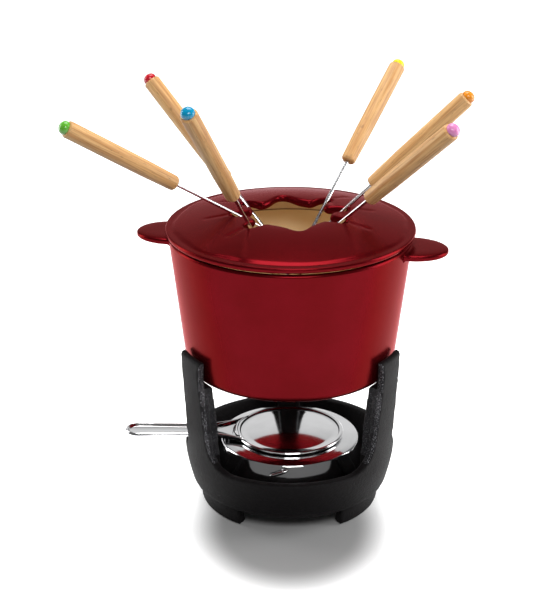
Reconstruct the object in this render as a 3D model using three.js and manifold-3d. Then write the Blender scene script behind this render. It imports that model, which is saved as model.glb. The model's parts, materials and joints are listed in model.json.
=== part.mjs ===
// A cast-iron fondue pot set: pot, fork ring, stand, burner with snuffer, and six forks.
// Millimetres, +Z up, front towards -Y. All is drawn round the stand's axis, and the finished set is then
// shifted so that the origin lies on the ground under the middle of its bounding box.
import * as THREE from "three";
import { mergeVertices } from "three/addons/utils/BufferGeometryUtils.js";
import Module from "manifold-3d";

const wasm = await Module();
wasm.setup();

const { degToRad } = THREE.MathUtils;
const gap = 0.3; // between pieces that rest on each other

const stand = {
  uprights: [90, 210, 330],
  uprightHalfAngle: 7.9,
  top: 128.8,
  ledge: 106.3,
  crest: 44.3,
  crestRadius: 77.8,
  trayFloor: 17.5,
  trayRadius: 71,
  underside: 13.5,
  footRadius: 66,
  footHalfAngle: 26,
};

const pot = {
  bottom: stand.ledge + gap,
  rim: 208.5,
  rimRadius: 88,
  baseRadius: 76.5,
  corner: 8,
  wall: 4.5,
  floor: 5,
  turn: -11.5,
  lugReach: 114,
  lugHalfWidth: 21,
  lugThickness: 6,
  lugTop: 205,
};

const ring = {
  radius: 90,
  edge: 211.8,
  edgeThickness: 3,
  seat: pot.rim + gap,
  crown: 224.2,
  thickness: 3.4,
  lobeRadius: 28.5,
  notchRadius: 43.4,
  spoutRadius: 38,
  notches: [-26, 12.5, 47.5, 146, 184.5, 223.5],
  spouts: [-81, 99],
};

const burner = {
  radius: 53.6,
  bottom: stand.trayFloor + gap,
  cupTop: 44,
  coverBottom: 31,
  shoulder: 47.3,
  wall: 1.1,
  mouthRadius: 31,
  mouthTop: 49.2,
};

const snuffer = {
  bottom: burner.mouthTop + gap,
  radius: 41,
  thickness: 1.6,
  reach: 124.2,
  handleHalfWidth: 9.5,
};

// Each fork leans in its own notch: where it faces, how steeply, how far its handle stands out.
const fork = {
  length: 176,
  tang: 26,
  shankRadius: 1.3,
  tineSpread: 2.1,
  tineRadius: 0.85,
  tineLength: 34,
  handleLength: 92,
  handleRadius: 6.1,
  capRadius: 4.8,
  restRadius: 42.4,
  restHeight: 225.4,
};

const forks = [
  { name: "green", notch: 186.5, facing: 204.6, rise: 32.4, out: 49.9, colour: 0x6ec33c },
  { name: "blue", notch: 225.5, facing: 241.3, rise: 51.5, out: 32.9, colour: 0x00a0cd },
  { name: "red", notch: 145.6, facing: 149.7, rise: 45.4, out: 18.6, colour: 0xcd1e2d },
  { name: "yellow", notch: 47.8, facing: 56.7, rise: 38.3, out: 32.6, colour: 0xf0f01e },
  { name: "orange", notch: 12.1, facing: -2.1, rise: 44.6, out: 23.1, colour: 0xfa9b28 },
  { name: "pink", notch: -26, facing: -42, rise: 42.3, out: 28.5, colour: 0xf096cd },
];

function finish(color, roughness, metalness) {
  return new THREE.MeshStandardMaterial({ color, roughness, metalness });
}

const finishes = {
  enamel: finish(0x8b191e, 0.22, 0),
  castIron: finish(0x28282a, 0.6, 0.1),
  chrome: finish(0xd8d8da, 0.12, 1),
  fibre: finish(0xd9d4c8, 0.95, 0),
  gauze: finish(0xa8a8aa, 0.45, 1),
  steel: finish(0xc9cacc, 0.25, 1),
  wood: finish(0xdeb276, 0.55, 0),
};

// ---- solids ----

function signedVolume(points, index) {
  const [a, b, c] = [new THREE.Vector3(), new THREE.Vector3(), new THREE.Vector3()];
  let volume = 0;
  for (let i = 0; i < index.length; i += 3) {
    a.fromArray(points, 3 * index[i]);
    b.fromArray(points, 3 * index[i + 1]);
    c.fromArray(points, 3 * index[i + 2]);
    volume += a.dot(b.cross(c)) / 6;
  }
  return volume;
}

function toSolid(geometry) {
  const bare = geometry.clone();
  bare.deleteAttribute("normal");
  bare.deleteAttribute("uv");
  const welded = mergeVertices(bare, 1e-4);
  const points = welded.attributes.position.array;
  const index = [];
  for (let i = 0; i < welded.index.count; i += 3) {
    const [a, b, c] = [0, 1, 2].map((k) => welded.index.getX(i + k));
    if (a !== b && b !== c && c !== a) index.push(a, b, c);
  }
  if (signedVolume(points, index) < 0) index.reverse();
  const mesh = new wasm.Mesh({
    numProp: 3,
    vertProperties: new Float32Array(points),
    triVerts: new Uint32Array(index),
  });
  return new wasm.Manifold(mesh);
}

function toGeometry(solid) {
  const mesh = solid.getMesh();
  const geometry = new THREE.BufferGeometry();
  geometry.setAttribute("position", new THREE.BufferAttribute(new Float32Array(mesh.vertProperties), 3));
  geometry.setIndex(new THREE.BufferAttribute(new Uint32Array(mesh.triVerts), 1));
  geometry.computeVertexNormals();
  return geometry;
}

function joined(...solids) {
  return solids.reduce((whole, next) => whole.add(next));
}

function turned(outline, segments) {
  const geometry = new THREE.LatheGeometry(outline, segments);
  return toSolid(geometry.rotateX(Math.PI / 2));
}

function profile(...corners) {
  return corners.map(([radius, height]) => new THREE.Vector2(radius, height));
}

// A wedge-shaped block from the axis outwards, centred on an angle.
function sector(angle, halfAngle, bottom, top) {
  const reach = 200;
  const steps = [-1, 0, 1].map((k) => degToRad(angle + k * halfAngle));
  const corners = steps.map((a) => new THREE.Vector2(reach * Math.cos(a), reach * Math.sin(a)));
  const shape = new THREE.Shape([new THREE.Vector2(0, 0), ...corners]);
  const geometry = new THREE.ExtrudeGeometry(shape, { depth: top - bottom, bevelEnabled: false });
  return toSolid(geometry.translate(0, 0, bottom));
}

// ---- stand ----

function standShell() {
  const { underside, trayFloor, trayRadius, crest, crestRadius, top, ledge } = stand;
  const potClearance = pot.baseRadius + 2.2;
  return turned(profile(
    [0, underside], [64, underside], [70.5, underside + 0.8], [73, 18], [76.3, 30],
    [crestRadius, 38], [79.3, 52], [81.3, 70], [83.4, 99], [84.8, 118], [84.7, top - 1.2],
    [83.6, top], [potClearance + 1.6, top], [potClearance + 0.6, top - 1.2],
    [potClearance, ledge], [75.5, ledge - 6], [74, 60], [trayRadius + 1.2, crest], [trayRadius, crest - 3],
    [67.5, 24], [64, trayFloor], [0, trayFloor],
  ), 72);
}

// Takes the outer corner off the ring's rim in the windows.
function rimRounding(angle) {
  const { crest, crestRadius, uprightHalfAngle } = stand;
  const corner = turned(profile(
    [crestRadius + 6, crest - 8], [crestRadius + 0.1, crest - 5.4], [crestRadius - 0.6, crest - 2],
    [crestRadius - 3, crest], [crestRadius - 3, crest + 3], [crestRadius + 6, crest + 3],
    [crestRadius + 6, crest - 8],
  ), 72);
  return corner.intersect(sector(angle, 60 - uprightHalfAngle - 13, 0, 200));
}

// The U-shaped window between two uprights, drawn flat and then bent round the stand.
function windowCutter(angle) {
  const bendRadius = 81;
  const halfWidth = bendRadius * degToRad(60 - stand.uprightHalfAngle);
  const shape = new THREE.Shape();
  shape.moveTo(-halfWidth, stand.top + 10);
  shape.lineTo(-halfWidth + 4, stand.crest + 24);
  shape.bezierCurveTo(-halfWidth + 5, stand.crest + 6, -halfWidth + 12, stand.crest, -halfWidth + 30, stand.crest);
  shape.lineTo(halfWidth - 30, stand.crest);
  shape.bezierCurveTo(halfWidth - 12, stand.crest, halfWidth - 5, stand.crest + 6, halfWidth - 4, stand.crest + 24);
  shape.lineTo(halfWidth, stand.top + 10);
  const geometry = new THREE.ExtrudeGeometry(shape, { depth: 200, bevelEnabled: false, curveSegments: 8 });
  const place = geometry.attributes.position;
  for (let i = 0; i < place.count; i += 1) {
    const around = degToRad(angle) + place.getX(i) / bendRadius;
    const radius = 40 + place.getZ(i);
    place.setXYZ(i, radius * Math.cos(around), radius * Math.sin(around), place.getY(i));
  }
  return toSolid(geometry);
}

function standLedge(angle) {
  const { trayFloor, ledge } = stand;
  const rib = turned(profile(
    [61, trayFloor - 1], [73, trayFloor - 1], [75.5, 60], [78, ledge - 4], [78.2, ledge], [70.5, ledge],
    [69.3, ledge - 1.4], [66.8, 80], [64.6, 50],
  ).concat(profile([61, trayFloor - 1])), 72);
  return rib.intersect(sector(angle, stand.uprightHalfAngle - 0.6, 0, 200));
}

function standFoot(angle) {
  const foot = turned(profile(
    [58.5, 0], [65.2, 0], [66.2, 1], [71, stand.underside + 1], [59.5, stand.underside + 1], [58.5, 0],
  ), 72);
  return foot.intersect(sector(angle, stand.footHalfAngle, -1, 200));
}

function standCasting() {
  const windows = stand.uprights.flatMap((angle) => [windowCutter(angle + 60), rimRounding(angle + 60)]);
  const cut = windows.reduce((whole, hole) => whole.subtract(hole), standShell());
  return joined(cut, ...stand.uprights.map(standLedge), ...stand.uprights.map(standFoot));
}

// ---- pot ----

function potOutline() {
  const { bottom, rim, rimRadius, baseRadius, corner, wall, floor } = pot;
  const path = new THREE.Path();
  path.moveTo(0, bottom);
  path.lineTo(baseRadius - corner + 1, bottom);
  path.quadraticCurveTo(baseRadius - 0.6, bottom, baseRadius, bottom + corner);
  path.lineTo(rimRadius, rim - 2.4);
  path.quadraticCurveTo(rimRadius + 0.1, rim, rimRadius - wall / 2, rim);
  path.quadraticCurveTo(rimRadius - wall, rim, rimRadius - wall - 0.1, rim - 2.4);
  path.lineTo(baseRadius - wall + 0.4, bottom + floor + corner);
  path.quadraticCurveTo(baseRadius - wall - 0.6, bottom + floor, baseRadius - wall - corner, bottom + floor);
  path.lineTo(0, bottom + floor);
  return path.getPoints(4);
}

function potLug(side) {
  const { lugReach, lugHalfWidth, lugThickness, lugTop, rimRadius } = pot;
  const root = rimRadius - 3;
  const bevel = 1.6;
  const shape = new THREE.Shape();
  shape.moveTo(root, -lugHalfWidth);
  shape.absellipse(root + 4, 0, lugReach - root - 4 - bevel, lugHalfWidth - bevel, -Math.PI / 2, Math.PI / 2);
  shape.lineTo(root, lugHalfWidth - bevel);
  shape.lineTo(root, -lugHalfWidth + bevel);
  const geometry = new THREE.ExtrudeGeometry(shape, {
    depth: lugThickness - 2 * bevel,
    bevelThickness: bevel,
    bevelSize: bevel,
    bevelSegments: 2,
    curveSegments: 18,
  });
  geometry.translate(0, 0, lugTop - lugThickness + bevel);
  return toSolid(geometry.rotateZ(degToRad(pot.turn + side)));
}

function potCasting() {
  return joined(turned(potOutline(), 72), potLug(0), potLug(180));
}

// ---- fork ring ----

// How far the opening reaches at an angle: lobes, with a notch for each fork and two wide spouts.
function openingRadius(angle) {
  const { lobeRadius, notchRadius, spoutRadius, notches, spouts } = ring;
  const away = (centre) => Math.abs(((angle - centre + 540) % 360) - 180);
  const notch = notches.map((c) => (notchRadius - lobeRadius) * Math.exp(-((away(c) / 10) ** 4)));
  const spout = spouts.map((c) => (spoutRadius - lobeRadius) * Math.exp(-((away(c) / 15) ** 2)));
  return lobeRadius + Math.max(...notch, ...spout);
}

function openingCutter() {
  const corners = [];
  for (let angle = 0; angle < 360; angle += 2.5) {
    const reach = openingRadius(angle);
    corners.push(new THREE.Vector2(reach * Math.cos(degToRad(angle)), reach * Math.sin(degToRad(angle))));
  }
  const shape = new THREE.Shape(corners);
  const geometry = new THREE.ExtrudeGeometry(shape, { depth: 60, bevelEnabled: false });
  return toSolid(geometry.translate(0, 0, ring.seat - 20));
}

function forkRing() {
  const { radius, edge, edgeThickness, seat, crown, thickness } = ring;
  const disc = turned(profile(
    [0, crown], [44, crown - 0.4], [60, crown - 3.2], [76, crown - 7.2], [86, edge + edgeThickness],
    [radius - 1.2, edge + edgeThickness], [radius, edge + edgeThickness / 2], [radius - 1.2, edge],
    [86, seat + 0.8], [84, seat], [81.6, seat], [78, seat + 2.2], [60, crown - 3.2 - thickness],
    [44, crown - 0.4 - thickness], [0, crown - thickness],
  ), 72);
  return disc.subtract(openingCutter());
}

// ---- burner ----

function burnerCup() {
  const { radius, bottom, cupTop, wall } = burner;
  const outer = radius - wall - gap;
  return turned(profile(
    [0, bottom], [outer - 3, bottom], [outer, bottom + 3], [outer, cupTop], [outer - wall, cupTop],
    [outer - wall, bottom + 3.4], [outer - 3.4, bottom + wall], [0, bottom + wall],
  ), 60);
}

function absorbentPad() {
  const outer = burner.radius - 2 * burner.wall - 2 * gap - 0.4;
  const low = burner.bottom + burner.wall + gap;
  return turned(profile([0, low], [outer - 4, low], [outer, low + 4], [outer, low + 16], [0, low + 16]), 48);
}

function wireGauze() {
  const outer = burner.radius - 2 * burner.wall - 2 * gap - 0.2;
  const low = burner.bottom + burner.wall + 2 * gap + 16;
  return turned(profile([0, low], [outer, low], [outer, low + 0.9], [0, low + 0.9]), 48);
}

// A slanted ridge pressed outwards in the skirt: the bayonet ramp that rides on the cup's pips.
function bayonetRamp(angle) {
  const ramp = new THREE.BoxGeometry(1.6, 15, 2.4);
  ramp.rotateX(degToRad(20));
  ramp.translate(burner.radius - 0.35, 0, 41.6);
  return toSolid(ramp.rotateZ(degToRad(angle)));
}

function burnerCover() {
  const { radius, coverBottom, shoulder, wall, mouthRadius, mouthTop } = burner;
  const shell = turned(profile(
    [radius, coverBottom], [radius, shoulder - 1.2], [radius - 1, shoulder], [radius - 4, shoulder + 0.7],
    [radius - 9, mouthTop - 0.6], [mouthRadius + 4, mouthTop], [mouthRadius + 1, mouthTop - 0.5],
    [mouthRadius, mouthTop - 3.4], [mouthRadius + wall, mouthTop - 3.4], [mouthRadius + 2, mouthTop - wall - 0.6],
    [radius - 9, mouthTop - 0.6 - wall], [radius - 4, shoulder + 0.7 - wall], [radius - wall, shoulder - 1.2],
    [radius - wall, coverBottom], [radius, coverBottom],
  ), 60);
  return joined(shell, ...[261, 21, 141].map(bayonetRamp));
}

// ---- snuffer ----

function snufferDisc() {
  const { radius, bottom, thickness } = snuffer;
  return turned(profile(
    [0, bottom], [radius - 5, bottom], [radius - 3.4, bottom + 0.6], [radius - 1, bottom + 0.3],
    [radius, bottom + 1.2], [radius - 1, bottom + 2.2], [radius - 3.6, bottom + 2.4],
    [radius - 5.6, bottom + thickness], [0, bottom + thickness],
  ), 60);
}

function snufferHandle() {
  const { radius, reach, handleHalfWidth, bottom } = snuffer;
  const tip = reach - handleHalfWidth;
  const shape = new THREE.Shape();
  shape.moveTo(-radius + 9, -20);
  shape.quadraticCurveTo(-radius - 6, -handleHalfWidth + 1, -radius - 24, -handleHalfWidth + 1.4);
  shape.lineTo(-tip, -handleHalfWidth);
  shape.absarc(-tip, 0, handleHalfWidth, -Math.PI / 2, Math.PI / 2, true);
  shape.lineTo(-radius - 24, handleHalfWidth - 1.4);
  shape.quadraticCurveTo(-radius - 6, handleHalfWidth - 1, -radius + 9, 20);
  const geometry = new THREE.ExtrudeGeometry(shape, { depth: 2.6, bevelEnabled: false, curveSegments: 10 });
  return toSolid(geometry.translate(0, 0, bottom));
}

// ---- fork pieces, each along +Z with its notch at the origin ----

function forkShank(out) {
  const { length, tang, shankRadius, tineSpread, tineRadius, tineLength } = fork;
  const tip = out - length;
  const rod = turned(profile(
    [0, tip + tineLength - 1], [shankRadius, tip + tineLength - 1], [shankRadius, out + tang], [0, out + tang],
  ), 12);
  const bridge = new THREE.BoxGeometry(2 * (tineSpread + tineRadius), 2 * tineRadius, 2.4);
  const tines = [-1, 1].map((side) => {
    const tine = turned(profile([0, tip], [0.35, tip + 0.3], [tineRadius, tip + 7],
      [tineRadius, tip + tineLength], [0, tip + tineLength]), 8);
    return tine.translate([side * tineSpread, 0, 0]);
  });
  return joined(rod, toSolid(bridge.translate(0, 0, tip + tineLength)), ...tines);
}

function forkHandle(out) {
  const { tang, shankRadius, handleLength, handleRadius, capRadius } = fork;
  const bore = shankRadius + gap;
  const top = out + handleLength;
  return turned(profile(
    [0, out + tang + gap], [bore, out + tang + gap], [bore, out], [3.6, out], [5.2, out + 0.8],
    [5.8, out + 2.6], [handleRadius - 0.1, out + 30], [handleRadius, top - 26], [handleRadius, top - 4],
    [capRadius + 0.6, top - 1.2], [capRadius - 0.4, top - 0.2], [2.7, top], [2.7, top - 7], [0, top - 7],
  ), 20);
}

function forkCap(out) {
  const { handleLength, capRadius } = fork;
  const face = out + handleLength + gap;
  return turned(profile(
    [0, face - 7], [2.3, face - 7], [2.3, face], [capRadius - 0.6, face], [capRadius, face + 0.9],
    [capRadius - 0.5, face + 2.8], [capRadius - 2, face + 4.4], [0, face + 5],
  ), 18);
}

// ---- assembly ----

function part(name, solid, material) {
  const mesh = new THREE.Mesh(toGeometry(solid), material);
  mesh.name = name;
  return mesh;
}

function forkGroup({ name, notch, facing, rise, out, colour }) {
  const [around, aim, lift] = [notch, facing, rise].map(degToRad);
  const along = new THREE.Vector3(Math.cos(lift) * Math.cos(aim), Math.cos(lift) * Math.sin(aim), Math.sin(lift));
  const across = new THREE.Vector3(0, 0, 1).cross(along).normalize();
  const up = along.clone().cross(across);
  const group = new THREE.Group();
  group.add(part(`${name}_fork_shank`, forkShank(out), finishes.steel));
  group.add(part(`${name}_fork_handle`, forkHandle(out), finishes.wood));
  group.add(part(`${name}_fork_cap`, forkCap(out), finish(colour, 0.15, 0)));
  group.quaternion.setFromRotationMatrix(new THREE.Matrix4().makeBasis(across, up, along));
  const { restRadius, restHeight } = fork;
  group.position.set(restRadius * Math.cos(around), restRadius * Math.sin(around), restHeight);
  return group;
}

const set = new THREE.Group();
set.add(part("stand_casting", standCasting(), finishes.castIron));
set.add(part("burner_cup", burnerCup(), finishes.chrome));
set.add(part("absorbent_pad", absorbentPad(), finishes.fibre));
set.add(part("wire_gauze", wireGauze(), finishes.gauze));
set.add(part("burner_cover", burnerCover(), finishes.chrome));
set.add(part("snuffer_lid", joined(snufferDisc(), snufferHandle()), finishes.chrome));
set.add(part("pot", potCasting(), finishes.enamel));
set.add(part("fork_ring", forkRing(), finishes.enamel));
forks.forEach((entry) => set.add(forkGroup(entry)));
const middle = new THREE.Box3().setFromObject(set, true).getCenter(new THREE.Vector3());
set.position.set(-middle.x, -middle.y, 0);

export default set;
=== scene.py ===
import json
import math
import bpy
from mathutils import Matrix, Vector


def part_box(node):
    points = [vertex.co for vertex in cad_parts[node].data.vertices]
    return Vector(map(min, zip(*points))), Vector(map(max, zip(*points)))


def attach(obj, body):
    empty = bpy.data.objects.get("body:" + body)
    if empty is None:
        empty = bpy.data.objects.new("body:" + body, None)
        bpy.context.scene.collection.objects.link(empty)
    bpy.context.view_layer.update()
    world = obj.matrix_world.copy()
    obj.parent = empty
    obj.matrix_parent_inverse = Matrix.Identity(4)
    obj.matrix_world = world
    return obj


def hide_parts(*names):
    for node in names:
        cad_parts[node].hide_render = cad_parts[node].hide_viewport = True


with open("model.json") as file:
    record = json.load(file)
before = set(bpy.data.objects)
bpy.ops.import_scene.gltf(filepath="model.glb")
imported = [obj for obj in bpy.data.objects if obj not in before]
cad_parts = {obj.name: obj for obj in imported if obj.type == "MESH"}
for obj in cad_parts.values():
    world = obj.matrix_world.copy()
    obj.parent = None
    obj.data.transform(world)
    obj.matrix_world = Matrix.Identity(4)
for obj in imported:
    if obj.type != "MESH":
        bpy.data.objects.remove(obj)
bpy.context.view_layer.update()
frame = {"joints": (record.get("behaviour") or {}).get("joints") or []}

mm = 0.001
fullTurn = 2 * math.pi
cupLow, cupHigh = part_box("burner_cup")
axis = Vector(((cupLow.x + cupHigh.x) / 2, (cupLow.y + cupHigh.y) / 2, 0))  # the stand's upright axis
joints = {joint["name"]: joint for joint in frame["joints"]}


# helpers that select, draw and shape meshes
def clearSelection():
    bpy.ops.object.select_all(action="DESELECT")


def pick(piece):
    clearSelection()
    piece.select_set(True)
    bpy.context.view_layer.objects.active = piece


def edit(piece):
    pick(piece)
    bpy.ops.object.mode_set(mode="EDIT")


def leaveEdit():
    bpy.ops.object.mode_set(mode="OBJECT")


# a chain of edges through points in millimetres, drawn by extruding one corner
def drawChain(name, points):
    clearSelection()
    bpy.ops.mesh.primitive_plane_add(size=mm)
    piece = bpy.context.object
    piece.name = name
    bpy.ops.object.mode_set(mode="EDIT")
    bpy.ops.mesh.select_all(action="SELECT")
    bpy.ops.mesh.merge(type="CENTER")
    bpy.ops.transform.translate(value=points[0] * mm)
    for here, there in zip(points, points[1:]):
        bpy.ops.mesh.extrude_region_move(TRANSFORM_OT_translate={"value": (there - here) * mm})
    return piece


# rounds the corners that carry a radius: (radius, height) or (radius, height, rounding), in millimetres
def rounded(corners, closed=False, arcSteps=5):
    points = []
    for i, corner in enumerate(corners):
        here = Vector(corner[:2])
        rounding = corner[2] if len(corner) > 2 else 0
        if rounding == 0:
            points.append(here)
            continue
        before = (Vector(corners[i - 1][:2]) - here).normalized()
        after = (Vector(corners[(i + 1) % len(corners)][:2]) - here).normalized()
        half = before.angle(after) / 2
        middle = here + (before + after).normalized() * rounding / math.sin(half)
        start = here + before * rounding / math.tan(half) - middle
        sweep = start.angle_signed(here + after * rounding / math.tan(half) - middle)
        for k in range(arcSteps + 1):
            points.append(middle + Matrix.Rotation(-sweep * k / arcSteps, 2) @ start)
    if closed:
        points.append(points[0].copy())
    return [Vector((point.x, 0, point.y)) for point in points]


# spins an outline round the upright axis through the origin
def turned(name, outline, steps):
    piece = drawChain(name, outline)
    bpy.ops.mesh.select_all(action="SELECT")
    bpy.ops.mesh.spin(steps=steps, angle=fullTurn, center=(0, 0, 0), axis=(0, 0, 1))
    bpy.ops.mesh.select_all(action="SELECT")
    bpy.ops.mesh.remove_doubles(threshold=2e-6)
    bpy.ops.mesh.normals_make_consistent(inside=False)
    leaveEdit()
    return piece


# keeps only the part of a turned piece within an angle either side of a direction
def keepSector(piece, angle, halfAngle):
    edit(piece)
    for side in (-1, 1):
        edge = math.radians(angle + side * halfAngle)
        away = Vector((-math.sin(edge), math.cos(edge), 0)) * side
        bpy.ops.mesh.select_all(action="SELECT")
        bpy.ops.mesh.bisect(plane_co=(0, 0, 0), plane_no=away, use_fill=True, clear_outer=True)
    leaveEdit()
    return piece


def cutOut(piece, cutter):
    pick(piece)
    change = piece.modifiers.new("cut", "BOOLEAN")
    change.operation = "DIFFERENCE"
    change.object = cutter
    change.solver = "EXACT"
    bpy.ops.object.modifier_apply(modifier=change.name)
    bpy.data.objects.remove(cutter)


def joinAll(name, pieces):
    clearSelection()
    for piece in pieces:
        piece.select_set(True)
    bpy.context.view_layer.objects.active = pieces[0]
    if len(pieces) > 1:
        bpy.ops.object.join()
    pieces[0].name = name
    return pieces[0]


def addModifier(piece, kind, **settings):
    pick(piece)
    change = piece.modifiers.new(kind.lower(), kind)
    for key, value in settings.items():
        setattr(change, key, value)
    bpy.ops.object.modifier_apply(modifier=change.name)


def moveCorners(piece, place):
    # every corner of the mesh goes where place, in millimetres, sends it
    for corner in piece.data.vertices:
        corner.co = place(corner.co / mm) * mm


def putAt(piece, matrix):
    piece.data.transform(matrix)
    if matrix.determinant() < 0:
        piece.data.flip_normals()


def smooth(piece, degrees=35):
    pick(piece)
    bpy.ops.object.shade_smooth_by_angle(angle=math.radians(degrees))


# rides on its body, takes the place of its CAD node and carries the given materials
def settle(piece, body, node, slot, *materials):
    piece.data.materials.clear()
    for material in materials:
        piece.data.materials.append(material)
    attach(piece, body)
    if node:
        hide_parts(node)


# sums on shader sockets, and the materials made from them
class Wire:
    # wraps a socket, so that sums on values add their Math nodes
    def __init__(self, tree, socket):
        self.tree = tree
        self.socket = socket

    def make(self, kind, settings=None, inputs=None, out=0):
        node = self.tree.nodes.new(kind)
        for key, value in (settings or {}).items():
            setattr(node, key, value)
        for key, value in (inputs or {}).items():
            if isinstance(value, Wire):
                self.tree.links.new(value.socket, node.inputs[key])
            else:
                node.inputs[key].default_value = value
        return Wire(self.tree, node.outputs[out])

    def into(self, socket):
        self.tree.links.new(self.socket, socket)

    def sum(self, operation, first, second):
        return self.make("ShaderNodeMath", {"operation": operation}, {0: first, 1: second})

    def __add__(self, other):
        return self.sum("ADD", self, other)

    def __radd__(self, other):
        return self.sum("ADD", other, self)

    def __sub__(self, other):
        return self.sum("SUBTRACT", self, other)

    def __mul__(self, other):
        return self.sum("MULTIPLY", self, other)

    def band(self, low, high):
        # 0 below low, 1 above high, smooth between
        return self.make("ShaderNodeMapRange", {"interpolation_type": "SMOOTHSTEP"},
                         {"Value": self, "From Min": low, "From Max": high})

    def noise(self, scale, detail=2.0, seed=0.0):
        return self.make("ShaderNodeTexNoise", {"noise_dimensions": "4D"},
                         {"Vector": self, "W": seed, "Scale": scale, "Detail": detail})

    def stretched(self, scale):
        return self.make("ShaderNodeVectorMath", {"operation": "MULTIPLY"}, {0: self, 1: scale})

    def blend(self, first, second):
        # first colour where this mask is 0, second where it is 1
        return self.make("ShaderNodeMix", {"data_type": "RGBA"}, {0: self, 6: first, 7: second}, out=2)

    def bump(self, distance, strength=1.0):
        return self.make("ShaderNodeBump", None, {"Height": self, "Distance": distance, "Strength": strength})


def newMaterial(name):
    material = bpy.data.materials.new(name)
    material.use_nodes = True
    tree = material.node_tree
    shader = tree.nodes["Principled BSDF"]
    place = Wire(tree, tree.nodes.new("ShaderNodeTexCoord").outputs["Object"])
    return material, shader.inputs, place


def linear(red, green, blue):
    # a linear colour from display values of 0 to 255
    tone = [((v / 255 + 0.055) / 1.055) ** 2.4 if v > 10 else v / 3294 for v in (red, green, blue)]
    return tuple(tone) + (1,)


# part metal gives coloured highlights, and the glow stands in for light held inside the pot
def enamel(name, colour, deep, roughness, shine, shineTint, metal=0.0, glow=(0, 0, 0, 1)):
    material, shader, place = newMaterial(name)
    cloud = place.noise(38, 3, 1.5)
    cloud.band(0.35, 0.7).blend(colour, deep).into(shader["Base Color"])
    (roughness + place.noise(160, 2, 4.0) * 0.06).into(shader["Roughness"])
    peel = place.noise(420, 2, 2.0) + place.noise(90, 2, 7.0) * 2.0
    peel.bump(0.00005, 0.5).into(shader["Normal"])
    shader["Metallic"].default_value = metal
    shader["Emission Color"].default_value = glow
    shader["Emission Strength"].default_value = 0.6
    shader["Specular IOR Level"].default_value = shine
    shader["Specular Tint"].default_value = shineTint
    return material


def castIron(name, colour, light, roughness, grit, speckle):
    material, shader, place = newMaterial(name)
    grain = place.noise(1500, 2, 3.0)
    fleckAndGlint = place.noise(1300, 2, 9.0).band(0.52, 0.68)
    wearAndSheen = place.noise(55, 4, 6.0).band(0.45, 0.75)
    # flecks and patches of the light tone: real flecks and wear on the black iron, painted glints and painted
    # sheen on the lighter edge copies
    (fleckAndGlint * speckle + wearAndSheen * 0.2).blend(colour, light).into(shader["Base Color"])
    (roughness + grain * 0.18 + wearAndSheen * 0.06).into(shader["Roughness"])
    shader["Specular IOR Level"].default_value = 0.1
    (grain + place.noise(620, 3, 5.0) * 1.6).bump(grit, 0.8).into(shader["Normal"])
    return material


def brightSteel(name, colour, roughness, turnedLines):
    material, shader, place = newMaterial(name)
    shader["Metallic"].default_value = 1.0
    haze = place.noise(45, 4, 2.0).band(0.3, 0.8)
    haze.blend(colour, tuple(v * 0.9 for v in colour[:3]) + (1,)).into(shader["Base Color"])
    streak = place.stretched(turnedLines).noise(1, 3, 5.0)
    (roughness + haze * 0.04 + streak * 0.05).into(shader["Roughness"])
    (streak * 0.5 + place.noise(30, 2, 8.0)).bump(0.00006, 0.25).into(shader["Normal"])
    return material


def fibre(name):
    material, shader, place = newMaterial(name)
    tuft = place.noise(700, 4, 2.0)
    tuft.blend(linear(196, 188, 168), linear(232, 228, 214)).into(shader["Base Color"])
    (0.86 + tuft * 0.1).into(shader["Roughness"])
    tuft.bump(0.0006).into(shader["Normal"])
    return material


# grain runs along the fork, so the pattern is read in the fork's own turned place
def forkWood(name, matrix, seed):
    material, shader, place = newMaterial(name)
    turn = matrix.to_euler()
    own = place.make("ShaderNodeMapping", {"vector_type": "TEXTURE"},
                     {"Vector": place, "Location": matrix.translation, "Rotation": turn})
    bands = own.stretched((420, 420, 16)).noise(1, 4, seed)
    fine = own.stretched((1500, 1500, 45)).noise(1, 3, seed + 3)
    pores = own.stretched((2300, 2300, 230)).noise(1, 2, seed + 5).band(0.64, 0.72)
    flecks = own.stretched((900, 900, 150)).noise(1, 2, seed + 8).band(0.69, 0.76)
    knot = own.stretched((260, 260, 130)).noise(1, 0, seed + 11).band(0.79, 0.83)
    pale = bands.band(0.35, 0.65).blend(linear(238, 192, 130), linear(206, 148, 86))
    ringed = (fine.band(0.45, 0.7) * 0.6).blend(pale, linear(170, 114, 62))
    dotted = (pores * 0.7).blend(ringed, linear(116, 70, 36))
    marked = (flecks * 0.6 + knot * 0.3).blend(dotted, linear(96, 50, 24))
    marked.into(shader["Base Color"])
    (0.42 + fine * 0.16).into(shader["Roughness"])
    (fine - pores * 0.8).bump(0.00008, 0.6).into(shader["Normal"])
    return material


def capPlastic(name, colour):
    material, shader, place = newMaterial(name)
    mottle = place.noise(120, 2, 2.0)
    mottle.blend(colour, tuple(v * 0.82 for v in colour[:3]) + (1,)).into(shader["Base Color"])
    (0.14 + mottle * 0.08).into(shader["Roughness"])
    place.noise(500, 1, 4.0).bump(0.00003, 0.3).into(shader["Normal"])
    return material


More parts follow.
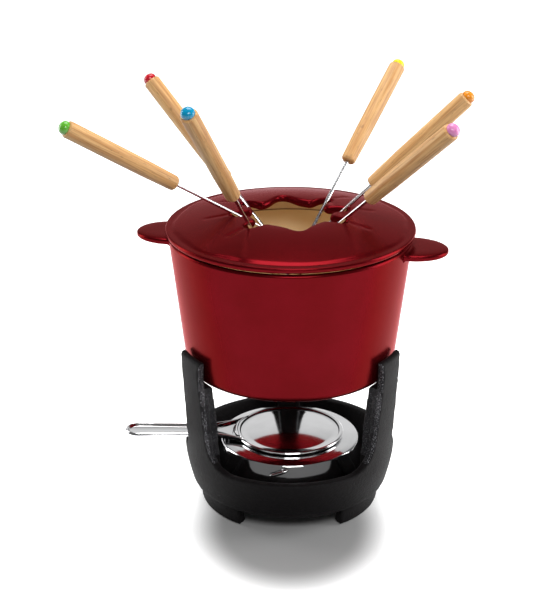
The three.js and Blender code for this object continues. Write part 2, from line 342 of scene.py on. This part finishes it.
# the studio: camera, lamps, air and floor
studio = {
    "cameraPlace": (-14.8, -1142.9, 613.2),  # from the stand's axis, in millimetres
    "cameraDown": 22.07,
    "lens": 98.4,
    "floorSize": 9,  # in metres
    "floorDrop": 0.0006,
    "floorGlow": (0.88, 0.88, 0.88, 1),
    # the colour that the floor's paint darkens to in the painted shadow under the stand
    "floorShade": (0.35, 0.35, 0.35, 1),
    "floorPaint": (0.93, 0.93, 0.93, 1),
    "airFront": (0.16, 0.16, 0.16, 1),
    "airBack": (0.9, 0.9, 0.9, 1),
    "airTurns": (0.5, 0.95),  # how far back the air begins and ends to brighten
    "airStrength": 0.8,
    # the oval of painted shadow on the floor: its centre and half-widths, in millimetres from the stand's
    # axis
    "shadeCentre": (0, -55, 0),
    "shadeHalf": (84, 112, 100),
    "softboxes": [
        # name, place, aims at, width, height, power
        ("left", (-0.95, 0.35, 0.36), (0, 0, 0.12), 0.35, 0.9, 5),
        ("right", (1.0, 0.05, 0.36), (0, 0, 0.12), 0.55, 0.9, 9),
        ("top", (0.0, 0.35, 1.45), (0, 0, 0.1), 0.9, 0.7, 13),
        ("front", (0.15, -1.5, 1.35), (0, 0, 0.18), 0.9, 0.5, 18),
    ],
}


def buildStudio():
    clearSelection()
    bpy.ops.object.camera_add(location=axis + Vector(studio["cameraPlace"]) * mm)
    camera = bpy.context.object
    camera.rotation_euler = (math.radians(90 - studio["cameraDown"]), 0, 0)
    camera.data.lens = studio["lens"]
    camera.data.sensor_width = 36
    camera.data.clip_start = 0.05
    camera.data.clip_end = 30
    bpy.context.scene.camera = camera
    for name, place, aim, width, height, power in studio["softboxes"]:
        bpy.ops.object.light_add(type="AREA", location=axis + Vector(place))
        lamp = bpy.context.object
        lamp.name = name + "Softbox"
        lamp.rotation_euler = (Vector(aim) - Vector(place)).to_track_quat("-Z", "Y").to_euler()
        lamp.data.shape = "RECTANGLE"
        lamp.data.size = width
        lamp.data.size_y = height
        lamp.data.energy = power
    world = bpy.data.worlds.new("studioAir")
    bpy.context.scene.world = world
    world.use_nodes = True
    air = Wire(world.node_tree, world.node_tree.nodes.new("ShaderNodeTexCoord").outputs["Generated"])
    depth = air.make("ShaderNodeSeparateXYZ", None, {0: air}, out=1)
    backdrop = world.node_tree.nodes["Background"].inputs
    depth.band(*studio["airTurns"]).blend(studio["airFront"], studio["airBack"]).into(backdrop["Color"])
    backdrop["Strength"].default_value = studio["airStrength"]
    bpy.context.scene.view_settings.view_transform = "Standard"
    bpy.ops.mesh.primitive_plane_add(size=studio["floorSize"], location=(0, 0, -studio["floorDrop"]))
    floor = bpy.context.object
    floor.name = "studioFloor"
    material, shader, place = newMaterial("paleFloor")
    shader["Roughness"].default_value = 0.8
    # the floor glows all round, but for a painted shadow: a soft oval under the stand and before it, where
    # the glow fades out and the floor's colour darkens
    centre = axis + Vector(studio["shadeCentre"]) * mm
    off = place.make("ShaderNodeVectorMath", {"operation": "SUBTRACT"}, {0: place, 1: centre})
    spread = off.stretched([1 / (mm * half) for half in studio["shadeHalf"]])
    away = spread.make("ShaderNodeVectorMath", {"operation": "LENGTH"}, {0: spread}, out=1)
    unshadowed = away.band(0.55, 1.1)
    unshadowed.blend((0.0, 0.0, 0.0, 1), studio["floorGlow"]).into(shader["Emission Color"])
    # the floor's paint, with some random tone, darkened to painted shadow inside the oval
    paintAndShadow = (unshadowed + place.noise(3, 2) * 0.1).blend(studio["floorShade"], studio["floorPaint"])
    paintAndShadow.into(shader["Base Color"])
    shader["Emission Strength"].default_value = 1.0
    floor.data.materials.append(material)
    floor.visible_diffuse = False


# the stand, one black casting on three feet
stand = {
    "uprights": (90, 210, 330),
    "uprightHalfAngle": 7.9,
    "top": 128.8,
    "ledge": 106.3,
    "crest": 44.3,
    "footHalfAngle": 26,
    "windowBend": 81,  # the radius at which a window's width is measured
    "windowDepth": 120,
    "windowCorner": 24,
    "windowDraft": 4.4,
    "windowSlices": 21,
    "grain": 1.15,  # size of the cells that the casting is cast into
}


# the U-shaped window between two uprights: a block with two rounded corners, wrapped round the axis
def windowBlock(angle):
    bend, slices = stand["windowBend"], stand["windowSlices"]
    halfWidth = bend * math.radians(60 - stand["uprightHalfAngle"])
    bottom, height = stand["crest"], stand["top"] + 10 - stand["crest"]
    clearSelection()
    bpy.ops.mesh.primitive_cube_add(size=1, location=(0, 0, 0))
    block = bpy.context.object
    block.scale = Vector((2 * halfWidth, stand["windowDepth"], height)) * mm
    block.location = Vector((0, 100, bottom + height / 2)) * mm
    bpy.ops.object.transform_apply(location=True, rotation=True, scale=True)
    for edge in block.data.edges:
        ends = [block.data.vertices[v].co / mm for v in edge.vertices]
        edge.select = all(abs(end.z - bottom) < 0.1 for end in ends) and abs(ends[0].x - ends[1].x) < 0.1
    for corner in block.data.vertices:
        if corner.co.z < bottom * mm + 1e-4:
            corner.co.x *= 1 - stand["windowDraft"] / halfWidth
    bpy.ops.object.mode_set(mode="EDIT")
    bpy.ops.mesh.select_mode(type="EDGE")
    bpy.ops.mesh.bevel(offset=stand["windowCorner"] * mm, segments=12, profile=0.56)
    bpy.ops.mesh.select_mode(type="VERT")
    for k in range(1 - slices, slices):
        bpy.ops.mesh.select_all(action="SELECT")
        bpy.ops.mesh.bisect(plane_co=(halfWidth * mm * k / slices, 0, 0), plane_no=(1, 0, 0))
    leaveEdit()

    def wrap(point):
        around = math.radians(angle) - point.x / bend
        return Vector((point.y * math.cos(around), point.y * math.sin(around), point.z))

    moveCorners(block, wrap)
    edit(block)
    bpy.ops.mesh.select_all(action="SELECT")
    bpy.ops.mesh.normals_make_consistent(inside=False)
    leaveEdit()
    return block


def buildStand(black, plateEdgeHighlight, ribSideSheen):
    crest, ledge, top = stand["crest"], stand["ledge"], stand["top"]
    body = turned("standCasting", rounded([
        (0, 13.5), (70.2, 13.7, 2), (73.2, 18, 3), (76.3, 30, 10), (77.8, 38, 10), (79.3, 52), (81.3, 70),
        (83.4, 99), (84.8, 118), (84.7, top, 1.6), (79.4, top, 1.2), (78.7, ledge), (75.5, ledge - 6),
        (74, 60), (72.4, crest, 1), (71, crest - 4, 1), (67.5, 24), (64, 17.5, 3), (0, 17.5)]), 180)
    for angle in stand["uprights"]:
        cutOut(body, windowBlock(angle + 60))
    extras = []
    for angle in stand["uprights"]:
        rib = turned("rib", rounded([
            (61, 16.5), (73, 16.5), (75.5, 60), (78.4, ledge - 4), (78.5, ledge, 0.6), (70.5, ledge, 1.4),
            (66.8, 80, 20), (64.6, 50, 20)], closed=True), 180)
        extras.append(keepSector(rib, angle, stand["uprightHalfAngle"] - 0.6))
        foot = turned("foot", rounded([
            (58.5, 0, 0.8), (66.4, 0, 1), (67.2, 14.6), (59.5, 14.6)], closed=True), 180)
        extras.append(keepSector(foot, angle, stand["footHalfAngle"]))
    body = joinAll("standCasting", [body] + extras)
    addModifier(body, "REMESH", mode="VOXEL", voxel_size=stand["grain"] * mm)
    addModifier(body, "SMOOTH", factor=0.5, iterations=4)
    smooth(body, 60)
    putAt(body, Matrix.Translation(axis))
    settle(body, "stand", "stand_casting", "black_cast_iron", black, plateEdgeHighlight, ribSideSheen)
    # the uprights' side faces get painted light: a painted highlight on the outer plate's edges and a dimmer
    # painted sheen on the rib's sides
    for face in body.data.polygons:
        middle = (face.center - axis) / mm
        out = Vector((middle.x, middle.y, 0))
        sideways = abs(face.normal.cross(Vector((0, 0, 1))).dot(out.normalized()))
        if sideways > 0.6 and crest + 6 < middle.z < top - 1:
            plate = out.length > 77.6 + (middle.z - 60) * 0.045
            face.material_index = 1 if plate else 2


# the pot, red outside and cream inside
pot = {
    "height": 101.9,
    "rimRadius": 88,
    "baseRadius": 76.3,
    "wall": 4.5,
    "lineBelowRim": 9.4,
    "turn": -11.5,
    "lugReach": 114,
    "lugHalfWidth": 21,
    "lugThickness": 6,
    "lugBelowRim": 3.5,
    "fillet": 1.8,
}


def potWallRadius(height):
    return pot["baseRadius"] + (pot["rimRadius"] - pot["baseRadius"]) * height / pot["height"]


# a ball squared into a half-oval plate, flared where it meets the wall
def potLug(side):
    clearSelection()
    bpy.ops.mesh.primitive_uv_sphere_add(segments=128, ring_count=64, radius=mm)
    lug = bpy.context.object
    height = pot["height"] - pot["lugBelowRim"] - pot["lugThickness"] / 2
    wall = potWallRadius(height)
    centre = wall + 1
    turn = Matrix.Rotation(math.radians(pot["turn"] + side), 3, "Z")

    def shape(point):
        flat = math.hypot(point.x, point.y)
        spread = flat ** 0.42
        lift = math.copysign(abs(point.z) ** 0.55, point.z)
        scale = spread / max(flat, 1e-9)
        y = point.y * scale * pot["lugHalfWidth"]
        x = centre + point.x * scale * (pot["lugReach"] - centre)
        x = max(x, math.sqrt((wall - 2.2) ** 2 - y ** 2))
        z = lift * pot["lugThickness"] / 2
        near = max(0.0, pot["fillet"] - max(0.0, math.hypot(x, y) - wall))
        flare = pot["fillet"] - math.sqrt(max(0.0, pot["fillet"] ** 2 - near ** 2))
        z += math.copysign(flare, z) * min(1, abs(z) / 2) * (0.8 if z > 0 else 1)
        return turn @ Vector((x, y, height + z))

    moveCorners(lug, shape)
    return lug


def buildPot(red, cream, line):
    low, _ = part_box("pot")
    height, rim, base, wall = pot["height"], pot["rimRadius"], pot["baseRadius"], pot["wall"]
    mark = height - pot["lineBelowRim"]
    inner = rim - wall
    slope = (inner - 72.2) / (height - 5)
    body = turned("potCasting", rounded([
        (0, 0), (66, 0, 1), (67, 0.8, 1), (base - 0.4, 0.8, 7), (rim, height, 2.1), (inner, height, 1.9),
        (inner - slope * (height - mark - 0.7), mark + 0.7), (inner - slope * (height - mark) - 0.35, mark),
        (inner - slope * (height - mark + 1) - 0.35, mark - 1), (72.2, 5, 9), (0, 5)], arcSteps=7), 192)
    body = joinAll("potCasting", [body, potLug(0), potLug(180)])
    edit(body)
    bpy.ops.mesh.select_all(action="SELECT")
    bpy.ops.mesh.normals_make_consistent(inside=False)
    leaveEdit()
    smooth(body, 40)
    putAt(body, Matrix.Translation((axis.x, axis.y, low.z)))
    settle(body, "pot", "pot", "red_enamel", red, cream, line)
    for face in body.data.polygons:
        middle = (face.center - axis) / mm
        radius, level = math.hypot(middle.x, middle.y), middle.z - low.z / mm
        if level > 3 and radius < potWallRadius(level) - wall * 0.7 and level < height - 2.4:
            face.material_index = 2 if mark - 1.1 < level < mark + 0.1 else 1


# the fork ring that lies on the pot's rim
ring = {
    "radius": 90,
    "lobeRadius": 28.5,
    "notchRadius": 43.4,
    "spoutRadius": 38,
    "notches": (-26, 12.5, 47.5, 146, 184.5, 223.5),
    "spouts": (-81, 99),
    "lobeRoll": 3.3,
    "notchRoll": 2.2,
    "thickness": 3.4,
    "drop": 10.2,
    "channelDepth": 0.6,
    "channelHalfWidth": 2.0,
    "channelEnd": 60,
    "topSteps": 26,
    "rollSteps": 12,
    "underSteps": 14,
    "seatSteps": 12,
}


def awayFrom(angle, centre):
    return abs((angle - centre + 540) % 360 - 180)


def openingRadius(angle):
    notch = max(math.exp(-((awayFrom(angle, c) / 10) ** 4)) for c in ring["notches"])
    spout = max(math.exp(-((awayFrom(angle, c) / 15) ** 2)) for c in ring["spouts"])
    lobe = ring["lobeRadius"]
    return lobe + max((ring["notchRadius"] - lobe) * notch, (ring["spoutRadius"] - lobe) * spout)


def channelDip(angle, radius):
    dip = 0
    for centre in ring["notches"]:
        off = radius * math.radians(awayFrom(angle, centre)) / ring["channelHalfWidth"]
        end = (radius - ring["channelEnd"]) / 4
        if off < 4 and end < 1:
            fade = 1 if end < 0 else 1 - end * end * (3 - 2 * end)
            dip = max(dip, ring["channelDepth"] * math.exp(-off * off) * fade)
    return dip


# a hoop of soft clay whose section is pushed to the ring's own at each angle
def buildForkRing(red):
    low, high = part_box("fork_ring")
    crown = (high.z - low.z) / mm
    rollStart = ring["topSteps"]
    underStart = rollStart + ring["rollSteps"]
    seatStart = underStart + ring["underSteps"]
    around, across = 256, seatStart + ring["seatSteps"]
    clearSelection()
    bpy.ops.mesh.primitive_torus_add(major_segments=around, minor_segments=across,
                                     major_radius=0.06, minor_radius=0.01)
    body = bpy.context.object
    body.name = "forkRingCasting"

    def topHeight(radius):
        return crown - ring["drop"] * (max(0, radius - 36) / 54) ** 1.45

    def section(angle, step):
        opening = openingRadius(angle)
        share = (opening - ring["lobeRadius"]) / (ring["notchRadius"] - ring["lobeRadius"])
        roll = ring["lobeRoll"] + (ring["notchRoll"] - ring["lobeRoll"]) * share
        bend = opening + roll
        edge = ring["radius"] - 1.5
        if step < rollStart:  # over the top, from the lip inwards
            t = step / rollStart
            radius = edge + (bend - edge) * t
            lip = 5.9 + (topHeight(edge) - 5.9) * min(1, t * 12)
            height = min(topHeight(radius), lip) if t < 1 / 12 else topHeight(radius)
            return radius, height - channelDip(angle, radius)
        if step < underStart:  # round the rolled edge
            turn = math.pi * (0.5 + (step - rollStart) / ring["rollSteps"])
            centre = topHeight(bend) - roll
            dip = channelDip(angle, bend) * 0.5
            return bend + roll * math.cos(turn), centre + roll * math.sin(turn) - dip
        if step < seatStart:  # back out underneath
            t = (step - underStart) / ring["underSteps"]
            radius = bend + (80 - bend) * t
            thick = 2 * roll + (ring["thickness"] - 2 * roll) * min(1, t * 4) ** 0.7
            return radius, topHeight(radius) - thick
        t = (step - seatStart) / ring["seatSteps"]  # the seat, then up round the lip
        if t < 0.35:
            return 81.6 + 2.6 * t / 0.35, 0.3 * (1 - t / 0.35)
        if t < 0.55:
            s = (t - 0.35) / 0.2
            return 84.2 + 4.3 * s, 1.5 * s
        turn = -math.pi / 2 + math.pi * (t - 0.55) / 0.45
        return edge + 1.5 * math.cos(turn), 3.7 + 2.2 * math.sin(turn)

    for i, corner in enumerate(body.data.vertices):
        angle = 360 * (i // across) / around
        radius, height = section(angle, i % across)
        spoke = math.radians(angle)
        corner.co = Vector((radius * math.cos(spoke), radius * math.sin(spoke), height)) * mm
    edit(body)
    bpy.ops.mesh.select_all(action="SELECT")
    bpy.ops.mesh.normals_make_consistent(inside=False)
    leaveEdit()
    addModifier(body, "SUBSURF", levels=1, render_levels=1)
    smooth(body, 60)
    putAt(body, Matrix.Translation((axis.x, axis.y, low.z)))
    settle(body, "fork_ring", "fork_ring", "red_enamel", red)


# the burner: cup, pad, gauze and cover
burner = {
    "radius": 53.6,
    "coverBottom": 31,
    "shoulder": 47.3,
    "mouthRadius": 31,
    "mouthTop": 49.2,
    "wall": 1.0,
    "ramps": (261, 21, 141),
    "rampHeight": 42.6,
    "rampTilt": 20,
    "rampLength": 15,
    "wirePitch": 2.9,
    "wireRadius": 0.24,
}


def buildCup(chrome):
    low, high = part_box("burner_cup")
    height = (high.z - low.z) / mm
    outer = burner["radius"] - 1.4
    cup = turned("burnerCup", rounded([
        (0, 0.4), (30, 0.4, 1), (31, 0, 0.5), (outer, 0, 3.2), (outer, height, 0.5),
        (outer - 1.1, height, 0.5), (outer - 1.1, 1.1, 2.3), (31, 1.1, 0.5), (30, 1.4, 1), (0, 1.4)]), 144)
    smooth(cup)
    putAt(cup, Matrix.Translation((axis.x, axis.y, low.z)))
    settle(cup, "burner", "burner_cup", "chromed_steel", chrome)


def buildPad(felt):
    low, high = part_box("absorbent_pad")
    radius, height = (high.x - low.x) / 2 / mm, (high.z - low.z) / mm
    pad = turned("absorbentPad", rounded([
        (0, 0), (radius - 1, 0, 3), (radius, 4, 3), (radius, height, 1.5), (0, height - 0.4)]), 96)
    edit(pad)
    bpy.ops.mesh.select_all(action="SELECT")
    bpy.ops.mesh.subdivide(number_cuts=1)
    leaveEdit()
    smooth(pad, 60)
    putAt(pad, Matrix.Translation((axis.x, axis.y, low.z)))
    settle(pad, "burner", "absorbent_pad", "fibre_pad", felt)


# wires that pass over and under each other, held in a flat rim
def buildGauze(steel):
    low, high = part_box("wire_gauze")
    radius, height = (high.x - low.x) / 2 / mm, (high.z - low.z) / mm
    pitch = burner["wirePitch"]
    rim = turned("wireGauze", rounded([
        (radius - 3, 0, 0.2), (radius, 0, 0.2), (radius, height, 0.2), (radius - 3, height, 0.2)],
        closed=True), 96)
    clearSelection()
    bpy.ops.curve.primitive_bezier_curve_add()
    mesh = bpy.context.object
    mesh.data.dimensions = "3D"
    mesh.data.splines.clear()
    reach = radius - 1.5
    count = int(reach / pitch)
    for lengthways in (0, 1):
        for k in range(-count, count + 1):
            half = math.sqrt(reach ** 2 - (k * pitch) ** 2)
            steps = int(half / pitch)
            wire = mesh.data.splines.new("POLY")
            wire.points.add(2 * steps)
            for i in range(-steps, steps + 1):
                wave = 1 if (i + k + lengthways) % 2 else -1
                along, aside = i * pitch, k * pitch
                spot = (along, aside) if lengthways else (aside, along)
                level = height / 2 + wave * burner["wireRadius"] * 0.8
                wire.points[i + steps].co = (spot[0] * mm, spot[1] * mm, level * mm, 1)
    mesh.data.bevel_depth = burner["wireRadius"] * mm
    mesh.data.bevel_resolution = 0
    mesh.data.use_fill_caps = True
    pick(mesh)
    bpy.ops.object.convert(target="MESH")
    gauze = joinAll("wireGauze", [rim, bpy.context.object])
    smooth(gauze)
    putAt(gauze, Matrix.Translation((axis.x, axis.y, low.z)))
    settle(gauze, "burner", "wire_gauze", "gauze_steel", steel)


def buildCover(chrome):
    radius, top, wall = burner["radius"], burner["mouthTop"], burner["wall"]
    shoulder, mouth, bottom = burner["shoulder"], burner["mouthRadius"], burner["coverBottom"]
    cover = turned("burnerCover", rounded([
        (radius + 3.6, bottom, 0.3), (radius + 2.2, 36, 12), (radius - 2.2, shoulder - 0.3, 2.2),
        (radius - 7, shoulder + 0.5, 2),
        (mouth + 4, top, 2), (mouth, top, 1.4), (mouth, top - 3.4, 0.3), (mouth + wall, top - 3.4, 0.3),
        (mouth + wall, top - wall - 0.2, 0.8), (mouth + 4, top - wall, 1),
        (radius - 7, shoulder + 0.5 - wall, 1), (radius - 3.0, shoulder - 1.2, 1.5),
        (radius + 1.2, 36, 12), (radius + 2.6, bottom, 0.3)],
        closed=True), 216)
    ridges = []
    for angle in burner["ramps"]:
        clearSelection()
        bpy.ops.mesh.primitive_uv_sphere_add(segments=48, ring_count=24, radius=mm)
        ridge = bpy.context.object
        spin = Matrix.Rotation(math.radians(angle), 3, "Z")
        tilt = math.tan(math.radians(burner["rampTilt"]))

        def press(point):
            # a long pressed bead with a sharp upper edge over the slit
            along = math.copysign(abs(point.y) ** 0.7, point.y) * burner["rampLength"] / 2
            lift = point.z * (1.0 if point.z > 0 else 1.9)
            level = burner["rampHeight"] - 1.1 + lift + along * tilt
            out = radius - 0.9 - (level - 42) * 0.38 + max(0, point.x) * 1.9
            around = along / out
            return spin @ Vector((out * math.cos(around), out * math.sin(around), level))

        moveCorners(ridge, press)
        ridges.append(ridge)
        clearSelection()
        bpy.ops.mesh.primitive_uv_sphere_add(segments=32, ring_count=16, radius=mm)
        slit = bpy.context.object

        def slot(point):
            along = math.copysign(abs(point.y) ** 0.6, point.y) * burner["rampLength"] / 2.2
            level = burner["rampHeight"] + 0.55 + point.z * 0.5 + along * tilt
            around = along / radius
            out = radius - 0.4 + point.x * 3
            return spin @ Vector((out * math.cos(around), out * math.sin(around), level))

        moveCorners(slit, slot)
        cutOut(cover, slit)
    cover = joinAll("burnerCover", [cover] + ridges)
    smooth(cover)
    putAt(cover, Matrix.Translation(axis))
    settle(cover, "cover", "burner_cover", "chromed_steel", chrome)


# the snuffer lid and its handle
snuffer = {
    "radius": 41,
    "reach": 124.2,
    "neckHalfWidth": 8.6,
    "tipHalfWidth": 10.4,
    "domeRadius": 190,
    # how far in and up each step of the handle's section goes: the rolled edge, then the sunk channel
    "handleSteps": ((0.3, 0.9), (0.4, 0.7), (0.6, 0.3), (0.7, -0.1), (0.7, -0.9), (0.7, -0.9), (0.6, -0.2)),
}


# the handle's outline, from the disc's roll out to the round tip and back
def snufferOutline():
    radius, neck, tip = snuffer["radius"], snuffer["neckHalfWidth"], snuffer["tipHalfWidth"]
    inner, halfRoot = radius - 2.6, 0.62
    root = Vector((-inner * math.cos(halfRoot), -inner * math.sin(halfRoot), 0))
    finish, bend = Vector((-radius - 30, -neck, 0)), Vector((-radius - 6, -neck - 0.8, 0))
    lower = []
    for k in range(1, 12):
        around = math.pi - halfRoot + 2 * halfRoot * k / 12
        lower.append(Vector((inner * math.cos(around), inner * math.sin(around), 0)))
    for k in range(13):
        t = k / 12
        lower.append(root * (1 - t) ** 2 + bend * 2 * t * (1 - t) + finish * t * t)
    centre = snuffer["reach"] - tip
    tipArc = []
    for k in range(19):
        around = -math.pi / 2 - math.pi * k / 18
        tipArc.append(Vector((-centre + tip * math.cos(around), tip * math.sin(around), 0)))
    upper = [Vector((point.x, -point.y, 0)) for point in lower[11:]]
    return lower + tipArc + upper[::-1]


def buildSnuffer(chrome):
    low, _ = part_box("snuffer_lid")
    radius, dome = snuffer["radius"], snuffer["domeRadius"]
    inside, floorTop, domeSteps = radius - 5.2, 1.1, 10
    domeLine = []
    for k in range(domeSteps + 1):
        out = inside * k / domeSteps
        domeLine.append((out, floorTop + (inside ** 2 - out ** 2) / (2 * dome)))
    disc = turned("snufferDisc", rounded(
        [(0, 0.2), (radius - 5, 0, 1), (radius - 1, 0.3, 0.9), (radius, 1.4, 0.9), (radius - 1.6, 2.5, 0.8),
         (radius - 3.4, 2.1, 0.8)] + domeLine[::-1]), 192)
    handle = drawChain("snufferHandle", snufferOutline())
    bpy.ops.mesh.select_all(action="SELECT")
    bpy.ops.mesh.edge_face_add()
    bpy.ops.mesh.extrude_region_move(TRANSFORM_OT_translate={"value": (0, 0, 1.1 * mm)})
    for inset, rise in snuffer["handleSteps"]:
        bpy.ops.mesh.inset(thickness=inset * mm, depth=rise * mm, use_boundary=True)
    bpy.ops.mesh.select_all(action="SELECT")
    bpy.ops.mesh.remove_doubles(threshold=1e-6)
    bpy.ops.mesh.normals_make_consistent(inside=False)
    leaveEdit()
    lid = joinAll("snufferLid", [disc, handle])
    smooth(lid, 50)
    putAt(lid, Matrix.Translation((axis.x, axis.y, low.z)))
    settle(lid, "snuffer", "snuffer_lid", "chromed_steel", chrome)


# the six forks
fork = {
    "handleLength": 92,
    "handleRadius": 6.1,
    "capRadius": 4.8,
    "shankRadius": 1.25,
    "tineSpread": 2.1,
    "tineRadius": 0.8,
    "tineLength": 34,
    "length": 176,
    "tang": 26,
    "colours": {
        "green": (108, 196, 58),
        "blue": (0, 158, 205),
        "red": (208, 26, 46),
        "yellow": (242, 240, 30),
        "orange": (250, 154, 38),
        "pink": (242, 148, 206),
    },
}


# the fork stands upright here, its handle's foot at the origin
def forkShank():
    tip = -fork["length"]
    root = tip + fork["tineLength"]
    spread, thin = fork["tineSpread"], fork["tineRadius"]
    pieces = [turned("shank", rounded([
        (0, root + 1), (1.0, root + 1), (fork["shankRadius"], root + 4), (fork["shankRadius"], fork["tang"]),
        (0, fork["tang"])]), 20)]
    for side in (-1, 1):
        tine = turned("tine", rounded([
            (0, tip), (0.2, tip + 0.2), (thin, tip + 8), (thin, root), (0, root)]), 14)
        putAt(tine, Matrix.Translation((side * spread * mm, 0, 0)))
        pieces.append(tine)
    clearSelection()
    bpy.ops.mesh.primitive_torus_add(major_segments=32, minor_segments=14,
                                     major_radius=spread * mm, minor_radius=thin * mm)
    bow = bpy.context.object
    putAt(bow, Matrix.Translation((0, 0, (root - 0.2) * mm)) @ Matrix.Rotation(math.pi / 2, 4, "X"))
    edit(bow)
    bpy.ops.mesh.select_all(action="SELECT")
    bpy.ops.mesh.bisect(plane_co=(0, 0, (root - 0.4) * mm), plane_no=(0, 0, -1),
                        use_fill=True, clear_outer=True)
    leaveEdit()
    return joinAll("forkShank", pieces + [bow])


def forkHandle():
    radius, top = fork["handleRadius"], fork["handleLength"]
    return turned("forkHandle", rounded([
        (0, 20), (fork["shankRadius"] + 0.3, 20), (fork["shankRadius"] + 0.3, 0, 0.4), (radius - 0.7, 0, 2.6),
        (radius - 0.1, 28), (radius, 60), (radius, top, 1.7), (2.8, top), (2.8, top - 6), (0, top - 6)]), 64)


def forkCap():
    radius, top = fork["capRadius"], fork["handleLength"]
    dome = [(radius * math.cos(a), top + 1.3 + 3.9 * math.sin(a)) for a in
            (math.pi / 2 * k / 10 for k in range(11))]
    outline = [(0, top - 5.4), (2.4, top - 5.4), (2.4, top + 0.1), (radius - 0.1, top + 0.1, 0.4)] + dome[:-1]
    return turned("forkCap", rounded(outline + [(0, top + 5.2)]), 48)


def buildForks(steel):
    models = {"shank": forkShank(), "handle": forkHandle(), "cap": forkCap()}
    for seed, (colour, tint) in enumerate(fork["colours"].items()):
        low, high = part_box(colour + "_fork_handle")
        along = Vector(joints[colour + "_fork_pull"]["axis"]).normalized()
        across = Vector((0, 0, 1)).cross(along).normalized()
        foot = (low + high) / 2 - along * fork["handleLength"] / 2 * mm
        place = Matrix((across, along.cross(across), along)).transposed().to_4x4()
        place.translation = foot
        looks = {
            "shank": ("fork_steel", steel),
            "handle": ("fork_wood", forkWood(colour + "HandleWood", place, 10.0 * seed)),
            "cap": (colour + "_cap_plastic", capPlastic(colour + "CapPlastic", linear(*tint))),
        }
        for part, model in models.items():
            piece = model.copy()
            piece.data = model.data.copy()
            piece.name = colour + "Fork" + part.capitalize()
            bpy.context.collection.objects.link(piece)
            putAt(piece, place)
            smooth(piece, 40)
            slot, material = looks[part]
            settle(piece, colour + "_fork", colour + "_fork_" + part, slot, material)
    for model in models.values():
        bpy.data.objects.remove(model)


# the materials, then the whole set in order
redEnamel = enamel("redEnamel", linear(98, 14, 21), linear(93, 13, 18), 0.22, 0.12, linear(230, 60, 80), 0.7)
creamEnamel = enamel("creamEnamel", linear(246, 226, 184), linear(240, 216, 170), 0.3, 0.3, (1, 1, 1, 1),
                     glow=linear(112, 86, 54))
creamLine = enamel("creamLine", linear(150, 124, 90), linear(134, 110, 78), 0.35, 0.3, (1, 1, 1, 1),
                   glow=linear(60, 44, 28))
blackIron = castIron("blackIron", linear(14, 12, 13), linear(32, 30, 31), 0.5, 0.0004, 0.14)
# lighter copies of the black iron for the uprights' side faces: painted highlight and glints on the plate
# edges, dimmer painted sheen on the ribs
plateEdgeHighlight = castIron("plateEdgePaintedHighlight", linear(40, 40, 42), linear(190, 190, 196), 0.3, 0.0012, 0.8)
ribSideSheen = castIron("ribSidePaintedSheen", linear(28, 28, 30), linear(120, 120, 124), 0.4, 0.0012, 0.6)
chrome = brightSteel("chromePlate", (0.86, 0.86, 0.87, 1), 0.05, (60, 60, 900))
forkSteel = brightSteel("drawnSteel", (0.8, 0.8, 0.82, 1), 0.14, (2500, 2500, 60))
gauzeSteel = brightSteel("gauzeWire", (0.55, 0.55, 0.56, 1), 0.3, (800, 800, 800))

buildStudio()
print("studio ready")
buildStand(blackIron, plateEdgeHighlight, ribSideSheen)
print("stand cast")
buildPot(redEnamel, creamEnamel, creamLine)
print("pot enamelled")
buildForkRing(redEnamel)
print("fork ring shaped")
buildCup(chrome)
buildPad(fibre("fibreFelt"))
buildGauze(gauzeSteel)
buildCover(chrome)
print("burner assembled")
buildSnuffer(chrome)
print("snuffer lid pressed")
buildForks(forkSteel)
print("six forks laid in")

clearSelection()
